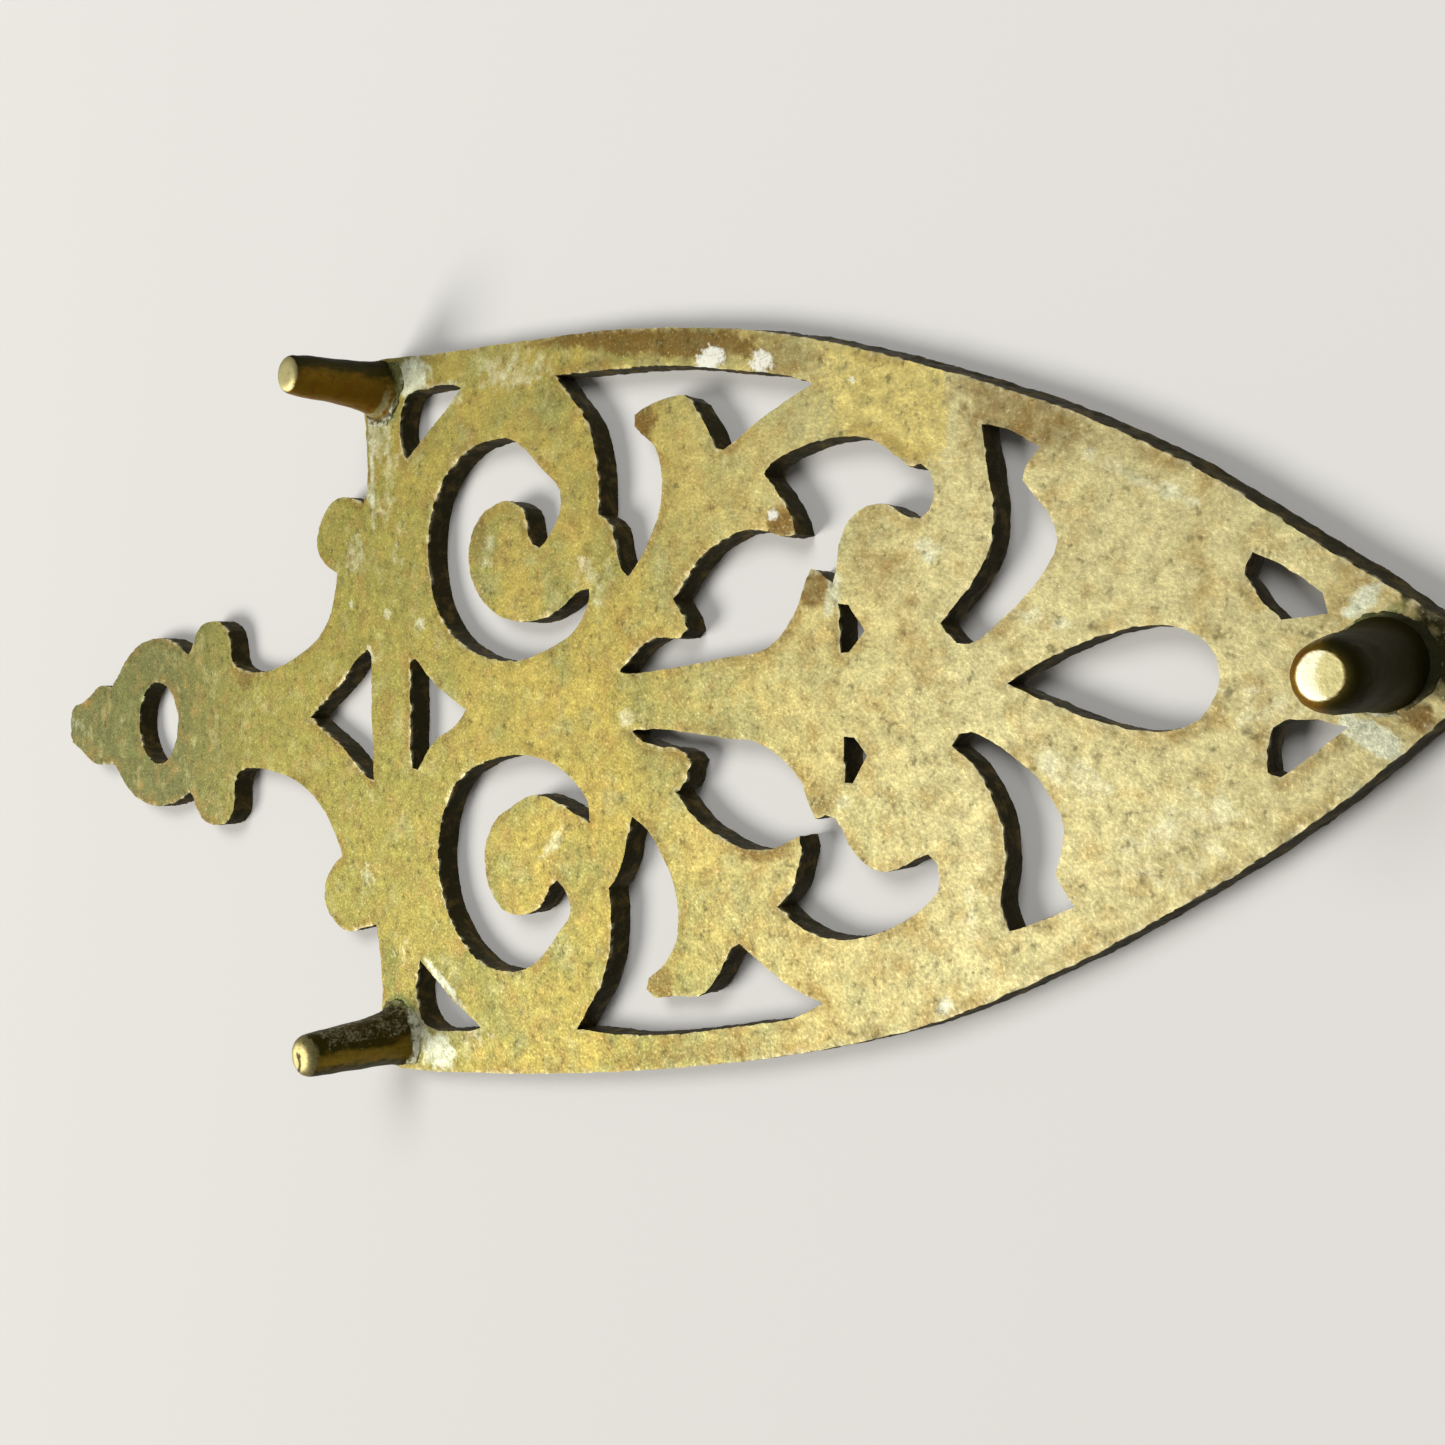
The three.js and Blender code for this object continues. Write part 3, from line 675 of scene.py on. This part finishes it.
def makeRun(node, form):
    # a ring, pressed flat against the plate, then sagged and pitted
    middle = 0.5 * (form["inner"] + form["outer"])
    thick = 0.5 * (form["outer"] - form["inner"])
    x, y = form["at"]
    centre = (x * mm, y * mm, undersideZ)
    bpy.ops.object.select_all(action="DESELECT")
    bpy.ops.mesh.primitive_torus_add(
        major_radius=middle * mm, minor_radius=thick * mm, major_segments=ringSteps,
        minor_segments=tubeSteps, location=centre)
    run = bpy.context.object
    run.name = form["label"]
    bpy.ops.object.mode_set(mode="EDIT")
    bpy.ops.mesh.select_all(action="SELECT")
    bpy.ops.transform.resize(value=(1, 1, form["rise"] / thick), center_override=centre)
    bpy.ops.object.mode_set(mode="OBJECT")
    bpy.ops.object.transform_apply(location=True, rotation=True, scale=True)
    points, normals = pointsOf(run), normalsOf(run)
    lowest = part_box(node)[0].z - 0.3 * mm
    lumps, pits = noiseAt(points, 2.2 * mm, form["seed"]), noiseAt(points, 0.6 * mm, form["seed"] + 1, 2)
    points += normals * ((form["lumps"] * lumps + 0.14 * pits) * mm)[:, None]
    reach = np.hypot(points[:, 0] / mm - x, points[:, 1] / mm - y)
    sway = 2 * form["lumps"] * noiseAt(points, 3.0 * mm, form["seed"] + 2)
    sway *= smoothStep(middle, form["outer"], reach)
    points[:, :2] += normals[:, :2] * (sway * mm)[:, None]
    keepOnPlate(points, plateReach["runSpare"])
    points[:, 2] = np.clip(points[:, 2], lowest, undersideZ + 0.25 * mm)
    movePoints(run, points)
    dx, dy = points[:, 0] / mm - x, points[:, 1] / mm - y
    around = np.maximum(np.hypot(dx, dy), 0.1)
    outward = (around - middle) / thick + 0.5 * (lumps + pits)
    storeMask(run, "rootMask", 1 - smoothStep(0.0, 1.2, outward))
    for name, spread in (("green", 0.5), ("pale", 0.7), ("shade", 0.2)):
        facing = (dx * form[name][0] + dy * form[name][1]) / around
        strength = max(map(abs, form[name]))
        storeMask(run, name + "Mask", strength * smoothStep(-0.1, 0.8, facing + spread * (lumps + pits)))
    onlySelect(run)
    bpy.ops.object.shade_smooth()
    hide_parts(node)
    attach(run, "root")
    return run


runs = [makeRun(node, form) for node, form in solderForms.items()]
print("runs laid round the roots")


def makeSandGrain():
    # the skin that casting sand leaves: a fine tone, bright grains, dark pits and their relief
    group, given, out = newGroup(
        "sandGrain",
        [("Vector", "NodeSocketVector", None), ("Scale", "NodeSocketFloat", 2200.0)],
        [(label, "NodeSocketFloat") for label in ("Tone", "Glint", "Pit", "Relief")])
    vector, scale = given.outputs["Vector"], given.outputs["Scale"]
    fine = noiseNode(group, vector, scale, 4, 0.65)
    middle = noiseNode(group, vector, mathNode(group, "MULTIPLY", scale, 0.33), 4, 0.6)
    tone = mathNode(group, "MULTIPLY", fine, 0.6)
    tone = mathNode(group, "ADD", tone, mathNode(group, "MULTIPLY", middle, 0.4))
    group.links.new(rangeNode(group, tone, 0.34, 0.66), out.inputs["Tone"])
    group.links.new(rangeNode(group, fine, 0.6, 0.72), out.inputs["Glint"])
    group.links.new(rangeNode(group, middle, 0.4, 0.3), out.inputs["Pit"])
    group.links.new(tone, out.inputs["Relief"])
    return group


def makeAgedTint():
    # slow drifts of colour that handling and polish leave on brass
    group, given, out = newGroup(
        "agedTint",
        [("Vector", "NodeSocketVector", None), ("Scale", "NodeSocketFloat", 150.0)],
        [(label, "NodeSocketFloat") for label in ("Olive", "Rose", "Bloom", "Shade")])
    vector, scale = given.outputs["Vector"], given.outputs["Scale"]
    slow = noiseNode(group, vector, mathNode(group, "MULTIPLY", scale, 0.6), 5, 0.6)
    quick = noiseNode(group, vector, mathNode(group, "MULTIPLY", scale, 1.9), 5, 0.6)
    other = noiseNode(group, vector, mathNode(group, "MULTIPLY", scale, 1.2), 6, 0.62)
    cloud = noiseNode(group, vector, mathNode(group, "MULTIPLY", scale, 3.1), 4, 0.6)
    group.links.new(rangeNode(group, slow, 0.40, 0.60), out.inputs["Olive"])
    group.links.new(rangeNode(group, quick, 0.50, 0.68), out.inputs["Rose"])
    group.links.new(rangeNode(group, other, 0.54, 0.72), out.inputs["Bloom"])
    group.links.new(rangeNode(group, cloud, 0.30, 0.70), out.inputs["Shade"])
    return group


def makeHandScratches():
    # fine scratches in three directions
    group, given, out = newGroup(
        "handScratches", [("Vector", "NodeSocketVector", None)], [("Scratch", "NodeSocketFloat")])
    total = None
    for turn, long, wide in ((0.35, 18, 2600), (-0.9, 22, 2100), (1.7, 14, 3000)):
        place = group.nodes.new("ShaderNodeMapping")
        place.inputs["Rotation"].default_value = (0, 0, turn)
        place.inputs["Scale"].default_value = (long, wide, 40)
        group.links.new(given.outputs["Vector"], place.inputs["Vector"])
        line = rangeNode(group, noiseNode(group, place.outputs[0], 1.0, 2, 0.5), 0.64, 0.74)
        total = line if total is None else mathNode(group, "MAXIMUM", total, line)
    group.links.new(total, out.inputs["Scratch"])
    return group


sandGrain, agedTint, handScratches = makeSandGrain(), makeAgedTint(), makeHandScratches()


def startMaterial(name):
    material = bpy.data.materials.new(name)
    material.use_nodes = True
    tree = material.node_tree
    shader = tree.nodes["Principled BSDF"]
    place = tree.nodes.new("ShaderNodeTexCoord").outputs["Object"]
    return material, tree, shader, place


def useGroup(tree, group, place, scale=None):
    node = tree.nodes.new("ShaderNodeGroup")
    node.node_tree = group
    tree.links.new(place, node.inputs["Vector"])
    if scale is not None:
        node.inputs["Scale"].default_value = scale
    return node.outputs


def bumpNode(tree, height, strength, distance):
    node = tree.nodes.new("ShaderNodeBump")
    node.inputs["Strength"].default_value = strength
    node.inputs["Distance"].default_value = distance
    tree.links.new(height, node.inputs["Height"])
    return node.outputs["Normal"]


brassTones = {
    "gold": (0.435, 0.345, 0.080),
    "olive": (0.285, 0.268, 0.075),
    "rose": (0.36, 0.235, 0.065),
    "bloom": (0.50, 0.46, 0.20),
    # nose, rear and finial: partly the brass's own tone and partly painted light, lighter toward the nose and
    # darker toward the handle
    "nose": (0.600, 0.535, 0.270),
    "rear": (0.285, 0.255, 0.050),
    "finial": (0.142, 0.147, 0.043),
    "pale": (0.64, 0.66, 0.48),
    "brown": (0.160, 0.085, 0.014),
    "rust": (0.25, 0.150, 0.026),
    "green": (0.15, 0.17, 0.04),
    "dark": (0.040, 0.035, 0.010),
    "paint": (0.78, 0.78, 0.68),
    "edge": (0.80, 0.74, 0.45),
    "patch": (0.57, 0.465, 0.14),
    # wall and wallWarm: partly dark tarnish and partly painted shade
    "wall": (0.034, 0.028, 0.010),
    "wallWarm": (0.105, 0.072, 0.020),
    "show": (0.72, 0.51, 0.17),
    "showDull": (0.46, 0.33, 0.11),
    "showWorn": (0.84, 0.63, 0.26),
}


def brokenMask(tree, name, tone, strength=1.0, sway=0.25):
    # a mask whose soft border is broken up by the grain
    swayed = mathNode(tree, "ADD", maskNode(tree, name), rangeNode(tree, tone, 0, 1, -sway, sway))
    return rangeNode(tree, swayed, sway + 0.01, 0.95, 0.0, strength)


def makeCastBrass():
    material, tree, shader, place = startMaterial("castBrass")
    grain = useGroup(tree, sandGrain, place, 2600)
    tint = useGroup(tree, agedTint, place, 170)
    tones = brassTones
    axis = tree.nodes.new("ShaderNodeSeparateXYZ")
    tree.links.new(place, axis.inputs[0])
    along = axis.outputs["X"]

    # ground colours, each coming in along the plate from a start to an end in mm; partly the brass's own tone
    # and partly painted light, lighter toward the nose and darker toward the handle
    colour = mixColour(tree, tint["Olive"], tones["gold"], tones["olive"])
    stretches = (("rear", 12, -30, 0.85), ("finial", -55, -85, 0.9), ("nose", 30, 80, 0.85))
    for name, start, end, strength in stretches:
        share = rangeNode(tree, along, start * mm, end * mm, 0.0, strength)
        colour = mixColour(tree, share, colour, tones[name])
    colour = mixColour(tree, mathNode(tree, "MULTIPLY", tint["Rose"], 0.6), colour, tones["rose"])
    colour = mixColour(tree, mathNode(tree, "MULTIPLY", tint["Bloom"], 0.6), colour, tones["bloom"])
    colour = mixColour(tree, brokenMask(tree, "patchMask", grain["Tone"], 0.8, 0.45), colour, tones["patch"])

    # stains, with painted light among the marks: the dark ones at the nose are the nose leg's painted shadow,
    # and one pale one is a painted edge highlight
    colour = mixColour(tree, brokenMask(tree, "tarnishMask", tint["Shade"], 0.5), colour, tones["rust"])
    for name, strength in (("brown", 0.85), ("green", 0.9), ("dark", 1.0), ("pale", 0.95)):
        colour = mixColour(tree, brokenMask(tree, name + "Mask", tint["Shade"], strength), colour, tones[name])

    # grain
    cloud = rangeNode(tree, tint["Shade"], 0, 1, 0.84, 1.16)
    tone = mathNode(tree, "MULTIPLY", rangeNode(tree, grain["Tone"], 0, 1, 0.72, 1.20), cloud)
    shade = tree.nodes.new("ShaderNodeCombineColor")
    for socket in shade.inputs:
        tree.links.new(tone, socket)
    colour = mixColour(tree, 1.0, colour, shade.outputs[0], "MULTIPLY")
    colour = mixColour(tree, mathNode(tree, "MULTIPLY", grain["Pit"], 0.42), colour, tones["dark"])
    colour = mixColour(tree, mathNode(tree, "MULTIPLY", grain["Glint"], 0.36), colour, tones["edge"])
    paint = brokenMask(tree, "paintMask", grain["Tone"], 0.9, 0.4)
    colour = mixColour(tree, paint, colour, tones["paint"])
    # painted highlight along the underside's edges, partly rubbed brass
    rubbedAndHighlight = rangeNode(tree, grain["Tone"], 0, 1, 0.1, 1.0)
    edge = mathNode(tree, "MULTIPLY", maskNode(tree, "edgeWearAndHighlightMask"), rubbedAndHighlight, True)
    colour = mixColour(tree, edge, colour, tones["edge"])

    shader.inputs["Specular IOR Level"].default_value = 0.15
    tree.links.new(colour, shader.inputs["Base Color"])
    tree.links.new(rangeNode(tree, grain["Tone"], 0, 1, 0.66, 0.48), shader.inputs["Roughness"])
    tree.links.new(mathNode(tree, "SUBTRACT", 0.42, paint, True), shader.inputs["Metallic"])
    relief = mathNode(tree, "ADD", grain["Relief"], mathNode(tree, "MULTIPLY", paint, 0.4))
    tree.links.new(bumpNode(tree, relief, 0.7, 0.16 * mm), shader.inputs["Normal"])
    return material


def makeWallBrass():
    material, tree, shader, place = startMaterial("wallBrass")
    grain = useGroup(tree, sandGrain, place, 1800)
    tint = useGroup(tree, agedTint, place, 260)
    tones = brassTones
    # walls are near black: partly dark tarnish and partly painted shade
    colour = mixColour(tree, tint["Rose"], tones["wall"], tones["wallWarm"])
    colour = mixColour(tree, mathNode(tree, "MULTIPLY", grain["Glint"], 0.12), colour, tones["olive"])
    # painted highlight along the same edges, partly rubbed brass
    rubbedAndHighlight = rangeNode(tree, grain["Tone"], 0, 1, 0.3, 1.0)
    edge = mathNode(tree, "MULTIPLY", maskNode(tree, "edgeWearAndHighlightMask"), rubbedAndHighlight, True)
    colour = mixColour(tree, edge, colour, tones["edge"])
    tree.links.new(colour, shader.inputs["Base Color"])
    tree.links.new(rangeNode(tree, grain["Tone"], 0, 1, 0.95, 0.8), shader.inputs["Roughness"])
    shader.inputs["Metallic"].default_value = 0.3
    shader.inputs["Specular IOR Level"].default_value = 0.12
    tree.links.new(bumpNode(tree, grain["Relief"], 1.0, 0.3 * mm), shader.inputs["Normal"])
    return material


def makeShowBrass():
    material, tree, shader, place = startMaterial("showBrass")
    grain = useGroup(tree, sandGrain, place, 1500)
    tint = useGroup(tree, agedTint, place, 120)
    scratch = useGroup(tree, handScratches, place)["Scratch"]
    tones = brassTones
    colour = mixColour(tree, mathNode(tree, "MULTIPLY", tint["Olive"], 0.7), tones["show"], tones["showDull"])
    colour = mixColour(tree, mathNode(tree, "MULTIPLY", tint["Rose"], 0.35), colour, tones["olive"])
    colour = mixColour(tree, mathNode(tree, "MULTIPLY", tint["Bloom"], 0.35), colour, tones["brown"])
    colour = mixColour(tree, mathNode(tree, "MULTIPLY", grain["Pit"], 0.35), colour, tones["brown"])
    worn = mathNode(tree, "MULTIPLY", maskNode(tree, "wornMask"), 0.5)
    colour = mixColour(tree, worn, colour, tones["showWorn"])
    tree.links.new(colour, shader.inputs["Base Color"])
    rough = rangeNode(tree, tint["Olive"], 0, 1, 0.26, 0.40)
    rough = mathNode(tree, "ADD", rough, mathNode(tree, "MULTIPLY", scratch, 0.15))
    tree.links.new(rough, shader.inputs["Roughness"])
    shader.inputs["Metallic"].default_value = 0.97
    relief = mathNode(tree, "MULTIPLY", grain["Relief"], 0.12)
    relief = mathNode(tree, "SUBTRACT", relief, mathNode(tree, "MULTIPLY", scratch, 0.12))
    tree.links.new(bumpNode(tree, relief, 0.8, 0.2 * mm), shader.inputs["Normal"])
    return material


legTones = {
    "base": (0.075, 0.052, 0.008),
    "baseOlive": (0.050, 0.045, 0.008),
    "warm": (0.30, 0.150, 0.012),
    "red": (0.30, 0.070, 0.010),
    "yellow": (0.34, 0.255, 0.030),
    "speckDark": (0.05, 0.045, 0.022),
    "speckPale": (0.36, 0.33, 0.20),
    "shade": (0.028, 0.024, 0.006),
    "filed": (0.64, 0.575, 0.27),
    "filedDull": (0.27, 0.225, 0.085),
    "filedHighlight": (0.97, 0.93, 0.66),
    "spigot": (0.70, 0.53, 0.22),
    "spigotDull": (0.55, 0.42, 0.16),
    "ridge": (0.62, 0.56, 0.28),
}


def makeLegBrass():
    material, tree, shader, place = startMaterial("legBrass")
    grain = useGroup(tree, sandGrain, place, 2600)
    tint = useGroup(tree, agedTint, place, 420)
    tones = legTones
    colour = mixColour(tree, tint["Olive"], tones["base"], tones["baseOlive"])
    warm = mixColour(tree, tint["Rose"], tones["warm"], tones["red"])
    warm = mixColour(tree, mathNode(tree, "MULTIPLY", tint["Bloom"], 0.7), warm, tones["yellow"])
    yellowed = mathNode(tree, "MULTIPLY", maskNode(tree, "dullMask"), 0.6)
    warm = mixColour(tree, yellowed, warm, tones["yellow"])
    colour = mixColour(tree, brokenMask(tree, "warmMask", tint["Shade"], 0.95, 0.15), colour, warm)
    speck = mixColour(tree, rangeNode(tree, grain["Tone"], 0.35, 0.85), tones["speckDark"], tones["speckPale"])
    grey = brokenMask(tree, "greyMask", grain["Tone"], 0.7, 0.6)
    colour = mixColour(tree, grey, colour, speck)
    # painted shade on the sides of the legs turned from the light
    dark = maskNode(tree, "darkMask")
    colour = mixColour(tree, dark, colour, tones["shade"])
    colour = mixColour(tree, brokenMask(tree, "ridgeMask", grain["Tone"], 0.8), colour, tones["ridge"])

    # filed feet and the spigots' rubbed ends
    rubbedAndHighlight = rangeNode(tree, grain["Tone"], 0, 1, 1.1, 0.5)
    dull = mathNode(tree, "MULTIPLY", maskNode(tree, "dullMask"), rubbedAndHighlight)
    dull = mathNode(tree, "MAXIMUM", dull, mathNode(tree, "MULTIPLY", tint["Bloom"], 0.5), True)
    filed = mixColour(tree, dull, tones["filed"], tones["filedDull"])
    # painted highlight on a crescent of the nose leg's filed foot
    filed = mixColour(tree, maskNode(tree, "footHighlightMask"), filed, tones["filedHighlight"])
    colour = mixColour(tree, maskNode(tree, "footMask"), colour, filed)
    spigot = mixColour(tree, tint["Olive"], tones["spigot"], tones["spigotDull"])
    colour = mixColour(tree, maskNode(tree, "topMask"), colour, spigot)
    foot = mathNode(tree, "MAXIMUM", maskNode(tree, "footMask"), maskNode(tree, "topMask"))
    colour = mixColour(tree, maskNode(tree, "crackMask"), colour, tones["speckDark"])
    colour = mixColour(tree, mathNode(tree, "MULTIPLY", grain["Pit"], 0.4), colour, tones["shade"])
    tree.links.new(colour, shader.inputs["Base Color"])
    rough = mixValue(tree, grey, rangeNode(tree, grain["Tone"], 0, 1, 0.56, 0.40), 0.75)
    rough = mixValue(tree, dark, rough, 0.88)
    rough = mixValue(tree, foot, rough, 0.5)
    tree.links.new(rough, shader.inputs["Roughness"])
    metal = mixValue(tree, grey, 0.75, 0.3)
    metal = mixValue(tree, foot, metal, 0.75)
    tree.links.new(metal, shader.inputs["Metallic"])
    shader.inputs["Specular IOR Level"].default_value = 0.06
    relief = mathNode(tree, "MULTIPLY", grain["Relief"], rangeNode(tree, foot, 0, 1, 1.0, 0.5))
    relief = mathNode(tree, "SUBTRACT", relief, maskNode(tree, "crackMask"))
    tree.links.new(bumpNode(tree, relief, 0.6, 0.18 * mm), shader.inputs["Normal"])
    return material


solderTones = {
    "grey": (0.36, 0.34, 0.20),
    "deep": (0.16, 0.145, 0.055),
    "green": (0.115, 0.130, 0.030),
    "pale": (0.60, 0.59, 0.42),
    "pitAndShade": (0.03, 0.03, 0.012),
    "root": (0.085, 0.070, 0.018),
}


def makeSolderGrey():
    material, tree, shader, place = startMaterial("solderGrey")
    grain = useGroup(tree, sandGrain, place, 1700)
    tint = useGroup(tree, agedTint, place, 420)
    tones = solderTones
    colour = mixColour(tree, tint["Olive"], tones["grey"], tones["deep"])
    colour = mixColour(tree, brokenMask(tree, "greenMask", tint["Shade"], 0.8, 0.4), colour, tones["green"])
    colour = mixColour(tree, brokenMask(tree, "paleMask", grain["Tone"], 0.9, 0.5), colour, tones["pale"])
    colour = mixColour(tree, tint["Bloom"], colour, tones["pale"])
    colour = mixColour(tree, mathNode(tree, "MULTIPLY", grain["Pit"], 0.85), colour, tones["pitAndShade"])
    colour = mixColour(tree, mathNode(tree, "MULTIPLY", grain["Glint"], 0.5), colour, tones["pale"])
    colour = mixColour(tree, brokenMask(tree, "rootMask", grain["Tone"], 0.85, 0.6), colour, tones["root"])
    # painted shade: the side of the nose run that lies in its leg's shadow
    colour = mixColour(tree, maskNode(tree, "shadeMask"), colour, tones["pitAndShade"])
    tree.links.new(colour, shader.inputs["Base Color"])
    tree.links.new(rangeNode(tree, grain["Tone"], 0, 1, 0.9, 0.7), shader.inputs["Roughness"])
    shader.inputs["Metallic"].default_value = 0.3
    shader.inputs["Specular IOR Level"].default_value = 0.2
    tree.links.new(bumpNode(tree, grain["Relief"], 1.0, 0.3 * mm), shader.inputs["Normal"])
    return material


def finishWith(pieces, *materials):
    # a new material list sets every face to the first, so the faces' own choices are put back
    for piece in pieces:
        kept = [face.material_index for face in piece.data.polygons]
        piece.data.materials.clear()
        for material in materials:
            piece.data.materials.append(material)
        piece.data.polygons.foreach_set("material_index", kept)


finishWith([plate], makeCastBrass(), makeWallBrass(), makeShowBrass())
finishWith(legs, makeLegBrass())
finishWith(runs, makeSolderGrey())
print("finishes on")

bpy.context.scene.view_settings.view_transform = "Standard"
